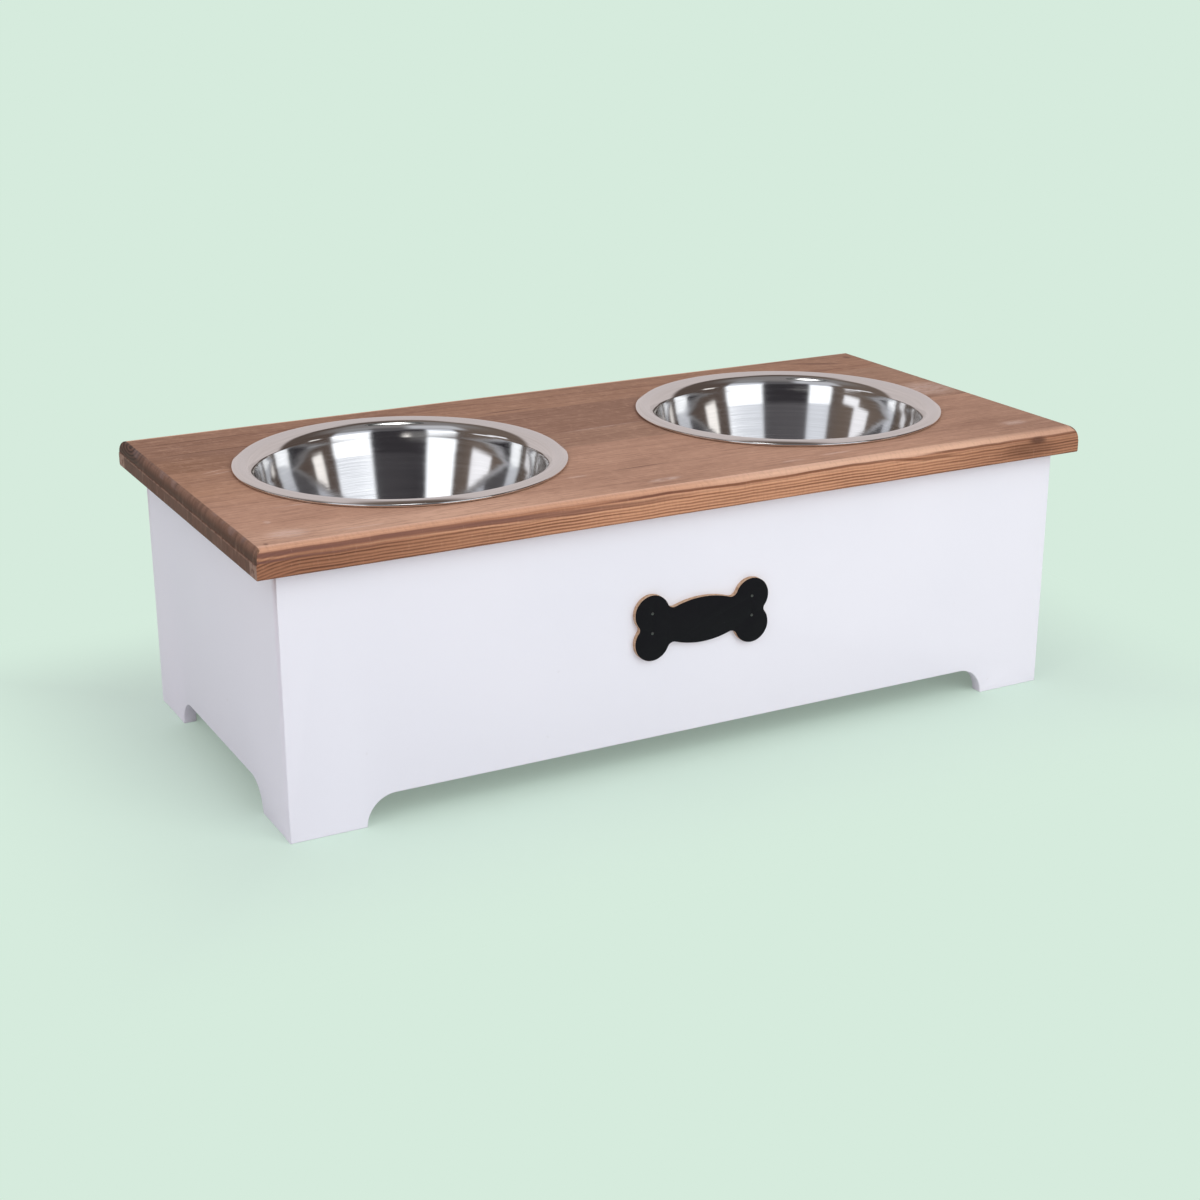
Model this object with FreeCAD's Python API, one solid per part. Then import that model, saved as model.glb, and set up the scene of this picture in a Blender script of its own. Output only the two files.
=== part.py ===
# Raised feeding station: a stained softwood top with two steel bowls, on a painted box with arched feet.
# The origin is on the floor under the middle of the top, X along the length, front facing -Y, Z up.
import FreeCAD, Part
import math
import os
from FreeCAD import Rotation, Vector

# Bowls, hung in the top by their rims
bowl_spacing = 302.0
bowl_rim_radius = 110.0
flange_width = 13.2
flange_fall = 1.4
collar_depth = 16.0
collar_lean = 2.9
wall_lean = 18.5
bowl_depth = 74.0
bowl_sheet = 0.8
rim_rise = 4.0
rim_foot_width = 5.0
rim_roll_share = 0.45
bowl_shoulder_round = 9.4
bowl_crease_round = 12.0
bowl_base_round = 18.0
bowl_hole_clearance = 3.7

# Top board, laid out round the rims of the bowls
rim_end_margin = 39.0
rim_side_margin = 33.0
top_thickness = 18.0
long_edge_round = 8.0
end_round_depth = 4.0
end_round_height = 9.0
lower_arris_round = 1.5

# Painted box
end_overhang = 14.5
side_overhang = 10.5
panel_height = 172.5
panel_thickness = 9.0
foot_width = 50.0
arch_height = 19.5
box_corner_round = 1.0

# Battens inside the box
post_size = 25.0
post_above_arch = 5.0
cleat_width = 20.0
cleat_height = 20.0

# Bone plaque on the front
plaque_thickness = 3.5
plaque_centre_height = 97.0
lobe_radius = 12.5
lobe_spacing_along = 75.0
lobe_spacing_up = 19.5
waist_height = 30.9
waist_end_height = 5.9
neck_round = 4.6
notch_round = 3.3

# Fasteners
screw_diameter = 3.5
screw_head_diameter = 7.0
screw_head_height = 2.4
screw_point_length = 4.0
panel_screw_bite = 5.0
top_screw_bite = 10.0
post_screw_inset = 22.0
post_screw_stagger = 12.0
top_screw_pitch = 190.0
cleat_screw_pitch = 120.0
pin_diameter = 1.2
pin_head_diameter = 2.0
pin_head_height = 0.4
pin_bite = 6.0
pin_spacing_up = 13.4
pin_rise = 3.3
fastener_clearance = 0.15

# Sizes that follow from the ones above
bowl_mouth_radius = bowl_rim_radius - flange_width
bowl_crease_radius = bowl_mouth_radius - collar_lean
bowl_base_radius = bowl_crease_radius - wall_lean
bowl_hole_radius = bowl_mouth_radius + bowl_hole_clearance
top_length = bowl_spacing + 2 * (bowl_rim_radius + rim_end_margin)
top_width = 2 * (bowl_rim_radius + rim_side_margin)
top_surface = panel_height + top_thickness
box_length = top_length - 2 * end_overhang
box_width = top_width - 2 * side_overhang
inner_length = box_length - 2 * panel_thickness
inner_width = box_width - 2 * panel_thickness
post_bottom = arch_height + post_above_arch
cleat_bottom = panel_height - cleat_height


def line(start, end):
    return Part.LineSegment(start, end).toShape()


def slab_profile(half_width, round_depth, round_height):
    """Section of the top, in X and Z: elliptical upper edges, small rounds on the lower arrises."""
    shoulder = top_surface - round_height
    edges = []
    for side in (-1, 1):
        arris_centre = Vector(side * (half_width - lower_arris_round), 0, panel_height + lower_arris_round)
        foot = arris_centre - Vector(0, 0, lower_arris_round)
        heel = arris_centre + Vector(side * lower_arris_round, 0, 0)
        bulge = arris_centre + Vector(side, 0, -1) * (lower_arris_round / math.sqrt(2))
        round_centre = Vector(side * (half_width - round_depth), 0, shoulder)
        crest = round_centre + Vector(0, 0, round_height)
        flank = round_centre + Vector(side * round_depth, 0, 0)
        ellipse = Part.Ellipse(crest, flank, round_centre)
        edges.append(Part.Arc(foot, bulge, heel).toShape())
        edges.append(line(heel, flank))
        edges.append(Part.ArcOfEllipse(ellipse, 0, math.pi / 2).toShape())
    lower_half = half_width - lower_arris_round
    upper_half = half_width - round_depth
    edges.append(line(Vector(-lower_half, 0, panel_height), Vector(lower_half, 0, panel_height)))
    edges.append(line(Vector(-upper_half, 0, top_surface), Vector(upper_half, 0, top_surface)))
    return Part.Face(Part.Wire(Part.__sortEdges__(edges)))


def top_blank():
    """The board before drilling: a long section and a cross section, each run out and intersected."""
    along = slab_profile(top_length / 2, end_round_depth, end_round_height)
    along = along.extrude(Vector(0, top_width, 0))
    along.translate(Vector(0, -top_width / 2, 0))
    across = slab_profile(top_width / 2, long_edge_round, long_edge_round)
    across = across.extrude(Vector(0, top_length, 0))
    across.translate(Vector(0, -top_length / 2, 0))
    across.rotate(Vector(), Vector(0, 0, 1), 90)
    return along.common(across)


def bowl_hole(centre_x):
    return Part.makeCylinder(bowl_hole_radius, top_thickness, Vector(centre_x, 0, panel_height))


def arched_panel(length, foot):
    """A panel standing on two feet, in X and Z, centred on X; each end of the arch is a quarter round."""
    end = length / 2
    heel = end - foot
    spring = heel - arch_height
    lift = arch_height / math.sqrt(2)
    edges = [line(Vector(-end, 0, panel_height), Vector(end, 0, panel_height))]
    edges.append(line(Vector(-spring, 0, arch_height), Vector(spring, 0, arch_height)))
    for side in (-1, 1):
        top_corner = Vector(side * end, 0, panel_height)
        foot_corner = Vector(side * end, 0, 0)
        foot_heel = Vector(side * heel, 0, 0)
        halfway = Vector(side * (spring + lift), 0, lift)
        arch_end = Vector(side * spring, 0, arch_height)
        edges.append(line(top_corner, foot_corner))
        edges.append(line(foot_corner, foot_heel))
        edges.append(Part.Arc(foot_heel, halfway, arch_end).toShape())
    face = Part.Face(Part.Wire(Part.__sortEdges__(edges)))
    return face.extrude(Vector(0, panel_thickness, 0))


def long_panel():
    """The front wall with its two outer corners eased; the back wall is the same piece turned round."""
    panel = arched_panel(box_length, foot_width)
    panel.translate(Vector(0, -box_width / 2, 0))
    corners = []
    for edge in panel.Edges:
        box = edge.BoundBox
        upright = box.ZLength > panel_height / 2
        if upright and box.YMax < panel_thickness / 2 - box_width / 2:
            corners.append(edge)
    return panel.makeFillet(box_corner_round, corners)


def side_panel():
    """The left wall, standing between the front and the back walls."""
    panel = arched_panel(inner_width, foot_width - panel_thickness)
    panel.rotate(Vector(), Vector(0, 0, 1), 90)
    panel.translate(Vector(panel_thickness - box_length / 2, 0, 0))
    return panel


def corner_post(side_x, side_y):
    low_x = min(side_x * inner_length / 2, side_x * (inner_length / 2 - post_size))
    low_y = min(side_y * inner_width / 2, side_y * (inner_width / 2 - post_size))
    low_corner = Vector(low_x, low_y, post_bottom)
    return Part.makeBox(post_size, post_size, panel_height - post_bottom, low_corner)


def long_cleat():
    """The batten along the front wall, between the posts."""
    length = inner_length - 2 * post_size
    low_corner = Vector(-length / 2, -inner_width / 2, cleat_bottom)
    return Part.makeBox(length, cleat_width, cleat_height, low_corner)


def short_cleat():
    """The batten along the left wall, between the posts."""
    length = inner_width - 2 * post_size
    low_corner = Vector(-inner_length / 2, -length / 2, cleat_bottom)
    return Part.makeBox(cleat_width, length, cleat_height, low_corner)


def turned(shape):
    """The same piece turned half a turn about Z, for the opposite side."""
    copy = shape.copy()
    copy.rotate(Vector(), Vector(0, 0, 1), 180)
    return copy


def offset_corners(corners, distance):
    """The corners of a chain moved sideways by a distance, to the left of its direction when positive."""
    normals = []
    for start, end in zip(corners, corners[1:]):
        run = (end - start).normalize()
        normals.append(Vector(-run.z, 0, run.x))
    moved = [corners[0] + normals[0] * distance]
    for corner, before, after in zip(corners[1:-1], normals, normals[1:]):
        moved.append(corner + (before + after) * (distance / (1 + before.dot(after))))
    moved.append(corners[-1] + normals[-1] * distance)
    return moved


def rounded_chain(corners, radii):
    """Edges along a chain of corners in X and Z, with a tangent arc of the given radius at each turn."""
    edges = []
    start = corners[0]
    for before, corner, after, radius in zip(corners, corners[1:], corners[2:], radii):
        back = (before - corner).normalize()
        ahead = (after - corner).normalize()
        half_angle = back.getAngle(ahead) / 2
        reach = radius / math.tan(half_angle)
        middle = (back + ahead).normalize() * (radius / math.sin(half_angle) - radius)
        edges.append(line(start, corner + back * reach))
        start = corner + ahead * reach
        edges.append(Part.Arc(corner + back * reach, corner + middle, start).toShape())
    edges.append(line(start, corners[-1]))
    return edges


def bowl(centre_x):
    """A spun bowl of even sheet: a tapered wall under a steeper collar, a well rounded mouth, and a rim rolled
    under to a flat foot that rests on the top."""
    half_sheet = bowl_sheet / 2
    rim_outside = bowl_rim_radius - half_sheet
    mouth_height = rim_rise - half_sheet - flange_fall
    corners = [
        Vector(bowl_rim_radius - rim_foot_width, 0, half_sheet),
        Vector(rim_outside, 0, half_sheet),
        Vector(rim_outside, 0, rim_rise - half_sheet),
        Vector(bowl_mouth_radius, 0, mouth_height),
        Vector(bowl_crease_radius, 0, mouth_height - collar_depth),
        Vector(bowl_base_radius, 0, -bowl_depth),
        Vector(0, 0, -bowl_depth),
    ]
    roll_round = rim_roll_share * (rim_rise - bowl_sheet)
    radii = [roll_round, roll_round, bowl_shoulder_round, bowl_crease_round, bowl_base_round]
    turns = [1, 1, 1, -1, -1]
    sides = []
    for distance in (half_sheet, -half_sheet):
        side_radii = [radius - turn * distance for radius, turn in zip(radii, turns)]
        sides.append(rounded_chain(offset_corners(corners, distance), side_radii))
    left, right = sides
    edges = left + right
    edges.append(line(left[0].Vertexes[0].Point, right[0].Vertexes[0].Point))
    edges.append(line(left[-1].Vertexes[1].Point, right[-1].Vertexes[1].Point))
    profile = Part.Face(Part.Wire(Part.__sortEdges__(edges)))
    shape = profile.revolve(Vector(), Vector(0, 0, 1), 360)
    shape.translate(Vector(centre_x, 0, top_surface))
    return shape


def plaque_waist():
    """The middle of the bone, in X and Z: a lens of two arcs that runs in under the lobes."""
    end = lobe_spacing_along / 2
    edges = []
    for side in (-1, 1):
        left = Vector(-end, 0, side * waist_end_height / 2)
        crown = Vector(0, 0, side * waist_height / 2)
        right = Vector(end, 0, side * waist_end_height / 2)
        edges.append(Part.Arc(left, crown, right).toShape())
        edges.append(line(Vector(side * end, 0, left.z), Vector(side * end, 0, -left.z)))
    return Part.Face(Part.Wire(Part.__sortEdges__(edges)))


def inner_corners(plate):
    """The edges through the plaque's thickness where its outline turns sharply inwards."""
    filled_share = 0.6
    corners = []
    for edge in plate.Edges:
        if edge.BoundBox.YLength > plaque_thickness / 2:
            probe = Part.makeSphere(plaque_thickness / 4, edge.CenterOfMass)
            if probe.common(plate).Volume > filled_share * probe.Volume:
                corners.append(edge)
    return corners


def bone_plaque():
    """A bone cut from thin board: four round lobes and a swelling waist, with its inner corners rounded."""
    through = Vector(0, plaque_thickness, 0)
    lobes = []
    for side_x in (-1, 1):
        for side_z in (-1, 1):
            centre = Vector(side_x * lobe_spacing_along / 2, 0, side_z * lobe_spacing_up / 2)
            lobes.append(Part.makeCylinder(lobe_radius, plaque_thickness, centre, through))
    plate = plaque_waist().extrude(through).multiFuse(lobes).removeSplitter()
    necks = [edge for edge in inner_corners(plate) if abs(edge.CenterOfMass.x) < lobe_spacing_along / 2]
    plate = plate.makeFillet(neck_round, necks)
    plate = plate.makeFillet(notch_round, inner_corners(plate))
    plate.translate(Vector(0, -box_width / 2 - plaque_thickness, plaque_centre_height))
    return plate


def headed_shank(shank_diameter, head_diameter, head_height, length, point_length):
    """A screw or pin along Z: domed head below the origin, shank and point above it."""
    shank = shank_diameter / 2
    head = head_diameter / 2
    crown = Vector(0, 0, -head_height)
    dome_radius = (head ** 2 + head_height ** 2) / (2 * head_height)
    half_sweep = math.asin(head / dome_radius) / 2
    halfway = crown + Vector(math.sin(half_sweep), 0, 1 - math.cos(half_sweep)) * dome_radius
    edges = [
        Part.Arc(crown, halfway, Vector(head, 0, 0)).toShape(),
        line(Vector(head, 0, 0), Vector(shank, 0, 0)),
        line(Vector(shank, 0, 0), Vector(shank, 0, length - point_length)),
        line(Vector(shank, 0, length - point_length), Vector(0, 0, length)),
        line(Vector(0, 0, length), crown),
    ]
    face = Part.Face(Part.Wire(edges))
    return face.revolve(Vector(), Vector(0, 0, 1), 360)


def seated(pattern, seats):
    """Copies of a fastener, each with its head on a seat: a point and the direction it is driven in."""
    copies = []
    for point, direction in seats:
        copy = pattern.copy()
        copy.Placement = FreeCAD.Placement(point, Rotation(Vector(0, 0, 1), direction))
        copies.append(copy)
    return Part.makeCompound(copies)


def bores(diameter, length, seats):
    """The holes that the fasteners on these seats run in."""
    hole = Part.makeCylinder(diameter / 2 + fastener_clearance, length + fastener_clearance)
    return seated(hole, seats)


def post_seats():
    """Two screws from each post into each of its two walls, those into the side walls set higher."""
    seats = []
    reach_x = inner_length / 2 - post_size
    reach_y = inner_width / 2 - post_size
    low = post_bottom + post_screw_inset
    high = cleat_bottom - post_screw_inset - post_screw_stagger
    for side_x in (-1, 1):
        for side_y in (-1, 1):
            for height in (low, high):
                middle_x = side_x * (reach_x + post_size / 2)
                middle_y = side_y * (reach_y + post_size / 2)
                on_long = Vector(middle_x, side_y * reach_y, height)
                on_short = Vector(side_x * reach_x, middle_y, height + post_screw_stagger)
                seats.append((on_long, Vector(0, side_y, 0)))
                seats.append((on_short, Vector(side_x, 0, 0)))
    return seats


def cleat_seats():
    """Two screws from each batten into the wall behind it."""
    seats = []
    height = cleat_bottom + cleat_height / 2
    for side in (-1, 1):
        for end in (-1, 1):
            along = end * cleat_screw_pitch / 2
            on_long = Vector(along, side * (inner_width / 2 - cleat_width), height)
            on_short = Vector(side * (inner_length / 2 - cleat_width), along, height)
            seats.append((on_long, Vector(0, side, 0)))
            seats.append((on_short, Vector(side, 0, 0)))
    return seats


def top_seats():
    """Screws driven up through the battens into the top: three in each long one, one in each short one."""
    seats = []
    upwards = Vector(0, 0, 1)
    for side in (-1, 1):
        for step in (-1, 0, 1):
            place = Vector(step * top_screw_pitch, side * (inner_width - cleat_width) / 2, cleat_bottom)
            seats.append((place, upwards))
        seats.append((Vector(side * (inner_length - cleat_width) / 2, 0, cleat_bottom), upwards))
    return seats


def pin_seats():
    """A brad near the middle of each lobe of the plaque."""
    seats = []
    front_face = -box_width / 2 - plaque_thickness
    for side_x in (-1, 1):
        for side_z in (-1, 1):
            height = plaque_centre_height + pin_rise + side_z * pin_spacing_up / 2
            place = Vector(side_x * lobe_spacing_along / 2, front_face, height)
            seats.append((place, Vector(0, 1, 0)))
    return seats


def screws(length, seats):
    sizes = (screw_diameter, screw_head_diameter, screw_head_height)
    return seated(headed_shank(*sizes, length, screw_point_length), seats)


post_screw_length = post_size + panel_screw_bite
cleat_screw_length = cleat_width + panel_screw_bite
top_screw_length = cleat_height + top_screw_bite
pin_length = plaque_thickness + pin_bite
wall_bores = [
    bores(screw_diameter, post_screw_length, post_seats()),
    bores(screw_diameter, cleat_screw_length, cleat_seats()),
]
top_bores = bores(screw_diameter, top_screw_length, top_seats())
pin_bores = bores(pin_diameter, pin_length, pin_seats())
pin = headed_shank(pin_diameter, pin_head_diameter, pin_head_height, pin_length, pin_diameter)

nodes = {
    "top_board": top_blank().cut([bowl_hole(-bowl_spacing / 2), bowl_hole(bowl_spacing / 2), top_bores]),
    "front_panel": long_panel().cut(wall_bores + [pin_bores]),
    "back_panel": turned(long_panel()).cut(wall_bores),
    "left_panel": side_panel().cut(wall_bores),
    "right_panel": turned(side_panel()).cut(wall_bores),
    "corner_post_front_left": corner_post(-1, -1).cut(wall_bores),
    "corner_post_front_right": corner_post(1, -1).cut(wall_bores),
    "corner_post_back_left": corner_post(-1, 1).cut(wall_bores),
    "corner_post_back_right": corner_post(1, 1).cut(wall_bores),
    "front_cleat": long_cleat().cut(wall_bores + [top_bores]),
    "back_cleat": turned(long_cleat()).cut(wall_bores + [top_bores]),
    "left_cleat": short_cleat().cut(wall_bores + [top_bores]),
    "right_cleat": turned(short_cleat()).cut(wall_bores + [top_bores]),
    "left_bowl": bowl(-bowl_spacing / 2),
    "right_bowl": bowl(bowl_spacing / 2),
    "bone_plaque": bone_plaque().cut(pin_bores),
    "plaque_pins": seated(pin, pin_seats()),
    "post_screws": screws(post_screw_length, post_seats()),
    "cleat_screws": screws(cleat_screw_length, cleat_seats()),
    "top_screws": screws(top_screw_length, top_seats()),
}

os.makedirs("parts", exist_ok=True)
for name, shape in nodes.items():
    shape.exportStep("parts/" + name + ".step")
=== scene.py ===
import math
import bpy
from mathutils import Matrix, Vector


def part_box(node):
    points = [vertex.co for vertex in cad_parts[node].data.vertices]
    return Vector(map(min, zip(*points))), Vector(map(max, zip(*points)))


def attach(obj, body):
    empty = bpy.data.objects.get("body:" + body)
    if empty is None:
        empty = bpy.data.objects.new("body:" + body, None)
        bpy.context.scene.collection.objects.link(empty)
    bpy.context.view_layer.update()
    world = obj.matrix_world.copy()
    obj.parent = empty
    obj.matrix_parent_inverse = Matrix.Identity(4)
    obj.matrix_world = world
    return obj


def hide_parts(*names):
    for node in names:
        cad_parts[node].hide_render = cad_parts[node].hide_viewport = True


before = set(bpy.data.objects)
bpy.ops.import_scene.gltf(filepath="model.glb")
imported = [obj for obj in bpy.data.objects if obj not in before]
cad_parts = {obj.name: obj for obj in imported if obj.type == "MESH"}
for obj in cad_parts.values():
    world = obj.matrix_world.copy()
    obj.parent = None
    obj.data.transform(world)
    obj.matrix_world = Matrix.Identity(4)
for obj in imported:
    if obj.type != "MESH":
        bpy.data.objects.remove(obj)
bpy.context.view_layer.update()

from types import SimpleNamespace

import bmesh
import bpy
from mathutils import Euler, Matrix, Vector


# Battens inside the box: four corner posts and four cleats, which the walls and the top are screwed to.
# They are bare planed softwood with fine straight grain along each batten, and show only from below.
class Wire:
    """An output of a node tree. Arithmetic on wires adds the Math nodes that it needs."""

    def __init__(self, tree, socket=None):
        self.tree = tree
        self.socket = socket

    def node(self, kind, settings, sockets, output=0):
        """Any other node of this tree: its settings are set first, then its sockets."""
        node = self.tree.nodes.new(kind)
        for name, value in settings.items():
            setattr(node, name, value)
        for name, value in sockets.items():
            if isinstance(value, Wire):
                self.tree.links.new(value.socket, node.inputs[name])
            else:
                node.inputs[name].default_value = value
        return Wire(self.tree, node.outputs[output])

    def math(self, operation, *values):
        return self.node("ShaderNodeMath", {"operation": operation}, dict(enumerate((self,) + values)))

    def __add__(self, other):
        return self.math("ADD", other)

    def __radd__(self, other):
        return self.math("ADD", other)

    def __sub__(self, other):
        return self.math("SUBTRACT", other)

    def __rsub__(self, other):
        return self.node("ShaderNodeMath", {"operation": "SUBTRACT"}, {0: other, 1: self})

    def __mul__(self, other):
        return self.math("MULTIPLY", other)

    def __rmul__(self, other):
        return self.math("MULTIPLY", other)

    def __truediv__(self, other):
        return self.math("DIVIDE", other)

    def size(self):
        return self.math("ABSOLUTE")

    def step(self, low, high):
        """0 below low, 1 above high, smooth between."""
        sockets = {"Value": self, "From Min": low, "From Max": high}
        return self.node("ShaderNodeMapRange", {"interpolation_type": "SMOOTHSTEP"}, sockets)

    def mix(self, first, second):
        """The first colour where this is 0, the second where it is 1."""
        return self.node("ShaderNodeMix", {"data_type": "RGBA"}, {0: self, 6: first, 7: second}, 2)

    def axes(self):
        split = self.node("ShaderNodeSeparateXYZ", {}, {0: self})
        return [Wire(self.tree, output) for output in split.socket.node.outputs]

    def stretched(self, *scale):
        return self.node("ShaderNodeVectorMath", {"operation": "MULTIPLY"}, {0: self, 1: scale})

    def noise(self, detail, roughness=0.5):
        sockets = {"Vector": self, "Scale": 1.0, "Detail": detail, "Roughness": roughness}
        return self.node("ShaderNodeTexNoise", {}, sockets)

    def bump(self, distance):
        return self.node("ShaderNodeBump", {}, {"Height": self, "Strength": 1.0, "Distance": distance})

    def feed(self, shader, name):
        self.tree.links.new(self.socket, shader.inputs[name])


def new_finish(name, constants):
    """A material, its shader with the values that are the same all over, and the piece's own coordinates."""
    material = bpy.data.materials.new(name)
    material.use_nodes = True
    tree = material.node_tree
    shader = tree.nodes["Principled BSDF"]
    for socket, value in constants.items():
        shader.inputs[socket].default_value = value
    return material, shader, Wire(tree).node("ShaderNodeTexCoord", {}, {}, "Object")


def planed_softwood(name, along):
    """Pale softwood whose grain runs along one axis, 0 for X to 2 for Z."""
    material, shader, place = new_finish(name, {"Specular IOR Level": 0.3})
    ring_scale = [90.0, 90.0, 90.0]
    ring_scale[along] = 2.5
    fibre_scale = [1400.0, 1400.0, 1400.0]
    fibre_scale[along] = 20.0
    rings = place.stretched(*ring_scale).noise(2.0).step(0.35, 0.68)
    fibres = place.stretched(*fibre_scale).noise(3.0)
    pale = rings.mix((0.66, 0.46, 0.27, 1), (0.5, 0.3, 0.15, 1))
    (fibres.step(0.3, 0.75) * 0.35).mix(pale, (0.42, 0.25, 0.13, 1)).feed(shader, "Base Color")
    (0.62 + fibres * 0.16).feed(shader, "Roughness")
    (fibres * 0.4 + rings * 0.6).bump(0.00008).feed(shader, "Normal")
    return material


def dress(node, material):
    """Gives a node of the frame a finish of its own."""
    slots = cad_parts[node].data.materials
    slots.clear()
    slots.append(material)


upright_grain = planed_softwood("post_softwood", 2)
for corner in ("front_left", "front_right", "back_left", "back_right"):
    dress("corner_post_" + corner, upright_grain)
lengthwise_grain = planed_softwood("long_cleat_softwood", 0)
for side in ("front", "back"):
    dress(side + "_cleat", lengthwise_grain)
crosswise_grain = planed_softwood("short_cleat_softwood", 1)
for side in ("left", "right"):
    dress(side + "_cleat", crosswise_grain)


# Screws: zinc plated, driven from inside through the posts and the cleats into the walls and the top.
# The plating is a dull blue-grey with a slight yellow cast that varies from screw to screw.
def zinc_plate():
    material, shader, place = new_finish("zinc_plate", {"Metallic": 1.0})
    cast = place.stretched(12.0, 12.0, 12.0).noise(2.0)
    grain = place.stretched(900.0, 900.0, 900.0).noise(2.0)
    cast.step(0.4, 0.65).mix((0.58, 0.6, 0.62, 1), (0.62, 0.57, 0.42, 1)).feed(shader, "Base Color")
    (0.3 + grain * 0.2).feed(shader, "Roughness")
    grain.bump(0.00003).feed(shader, "Normal")
    return material


plating = zinc_plate()
for node in ("post_screws", "cleat_screws", "top_screws"):
    dress(node, plating)


# Walls of the box: four 9 mm boards, the front and back ones lapping the ends of the side ones.
# Each is sawn with a low arch between two feet, has its edges eased, and is sprayed with white satin paint.
wall_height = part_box("front_panel")[1][2]
wall_thickness = 0.009
arch_height = 0.0195
foot_width = 0.050
eased_edge = 0.0007

# Places nearer to each other than this count as the same place
hair = 0.0001


def pick(kind, test):
    """Selects the vertices, edges or faces of the piece being edited that pass the test."""
    bpy.ops.mesh.select_mode(type=kind)
    bpy.ops.mesh.select_all(action="DESELECT")
    mesh = bmesh.from_edit_mesh(bpy.context.object.data)
    elements = {"VERT": mesh.verts, "EDGE": mesh.edges, "FACE": mesh.faces}[kind]
    for element in elements:
        if test(element):
            element.select_set(True)
    bmesh.update_edit_mesh(bpy.context.object.data)


def middle(edge):
    return (edge.verts[0].co + edge.verts[1].co) / 2


def start_edit(name):
    """Names the piece just added, fixes its place in its mesh and opens it for shaping."""
    piece = bpy.context.object
    piece.name = name
    bpy.ops.object.transform_apply(location=True, rotation=True, scale=True)
    bpy.ops.object.mode_set(mode="EDIT")
    return piece


def apply(piece, kind, **settings):
    """Adds a modifier to the piece and applies it."""
    modifier = piece.modifiers.new(kind.lower(), kind)
    for name, value in settings.items():
        setattr(modifier, name, value)
    bpy.context.view_layer.objects.active = piece
    bpy.ops.object.modifier_apply(modifier=modifier.name)


def smooth(piece, degrees):
    bpy.ops.object.select_all(action="DESELECT")
    piece.select_set(True)
    bpy.context.view_layer.objects.active = piece
    bpy.ops.object.shade_smooth_by_angle(angle=math.radians(degrees))


def seat(piece, body, slot, material, *nodes):
    """Puts a finished piece on its body in place of the frame's own nodes."""
    piece.data.materials.clear()
    piece.data.materials.append(material)
    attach(piece, body)
    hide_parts(*nodes)


def arched_wall(name, length, foot, lapping):
    """A wall along X with its outer face on Y = 0: outline first, then its thickness and its eased edges."""
    heel = length / 2 - foot

    def in_arch(face):
        centre = face.calc_center_median()
        return abs(centre.x) < heel and centre.z < arch_height

    def eased(edge):
        along_face = abs(edge.verts[0].co.y - edge.verts[1].co.y) < hair
        at = middle(edge)
        at_end = abs(abs(at.x) - length / 2) < hair
        at_foot = at.z < hair and not along_face
        joined = at_end and (not lapping or at.y > wall_thickness / 2)
        return not joined and (at_foot or (along_face and at.z < wall_height - hair))

    bpy.ops.object.select_all(action="DESELECT")
    bpy.ops.mesh.primitive_plane_add(size=1, rotation=(math.pi / 2, 0, 0), location=(0, 0, wall_height / 2))
    bpy.context.object.scale = (length, wall_height, 1)
    piece = start_edit(name)
    cuts = (((-heel, 0, 0), (1, 0, 0)), ((heel, 0, 0), (1, 0, 0)), ((0, 0, arch_height), (0, 0, 1)))
    for point, normal in cuts:
        bpy.ops.mesh.select_all(action="SELECT")
        bpy.ops.mesh.bisect(plane_co=point, plane_no=normal)
    pick("FACE", in_arch)
    bpy.ops.mesh.delete(type="FACE")
    bpy.ops.mesh.select_all(action="SELECT")
    bpy.ops.mesh.dissolve_faces()
    pick("VERT", lambda vert: abs(abs(vert.co.x) - heel) < hair and vert.co.z > arch_height / 2)
    bpy.ops.mesh.bevel(offset=arch_height, segments=16, affect="VERTICES")
    bpy.ops.mesh.select_all(action="SELECT")
    bpy.ops.mesh.remove_doubles(threshold=hair / 10)
    bpy.ops.mesh.extrude_region_move(TRANSFORM_OT_translate={"value": (0, wall_thickness, 0)})
    bpy.ops.mesh.select_all(action="SELECT")
    bpy.ops.mesh.normals_make_consistent(inside=False)
    pick("EDGE", eased)
    bpy.ops.mesh.bevel(offset=eased_edge, segments=3, affect="EDGES")
    bpy.ops.object.mode_set(mode="OBJECT")
    return piece


def white_satin_paint():
    material, shader, place = new_finish("white_satin_paint", {"Specular IOR Level": 0.4})
    drift = place.stretched(5.0, 5.0, 5.0).noise(2.0)
    peel = place.stretched(420.0, 420.0, 420.0).noise(2.0)
    specks = place.stretched(160.0, 160.0, 160.0).noise(1.0).step(0.78, 0.84)
    coat = drift.step(0.3, 0.7).mix((0.80, 0.815, 0.86, 1), (0.835, 0.845, 0.885, 1))
    (specks * 0.5).mix(coat, (0.72, 0.72, 0.74, 1)).feed(shader, "Base Color")
    (0.4 + drift * 0.08 + peel * 0.05).feed(shader, "Roughness")
    (peel * 0.6 + specks).bump(0.00004).feed(shader, "Normal")
    return material


paint = white_satin_paint()
for side, turn in (("front", 0), ("right", 1), ("back", 2), ("left", 3)):
    node = side + "_panel"
    low, high = (Vector(corner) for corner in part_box(node))
    lapping = side in ("front", "back")
    length = high.x - low.x if lapping else high.y - low.y
    foot = foot_width if lapping else foot_width - wall_thickness
    wall = arched_wall("wall_" + side, length, foot, lapping)
    wall.rotation_euler.z = turn * math.pi / 2
    outward = Matrix.Rotation(turn * math.pi / 2, 3, "Z") @ Vector((0, -1, 0))
    centre = (low + high) / 2 + outward * wall_thickness / 2
    wall.location = (centre.x, centre.y, 0)
    bpy.ops.object.transform_apply(location=True, rotation=True, scale=True)
    apply(wall, "WEIGHTED_NORMAL", keep_sharp=True)
    smooth(wall, 40)
    seat(wall, "station", "white_paint", paint, node)


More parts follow.
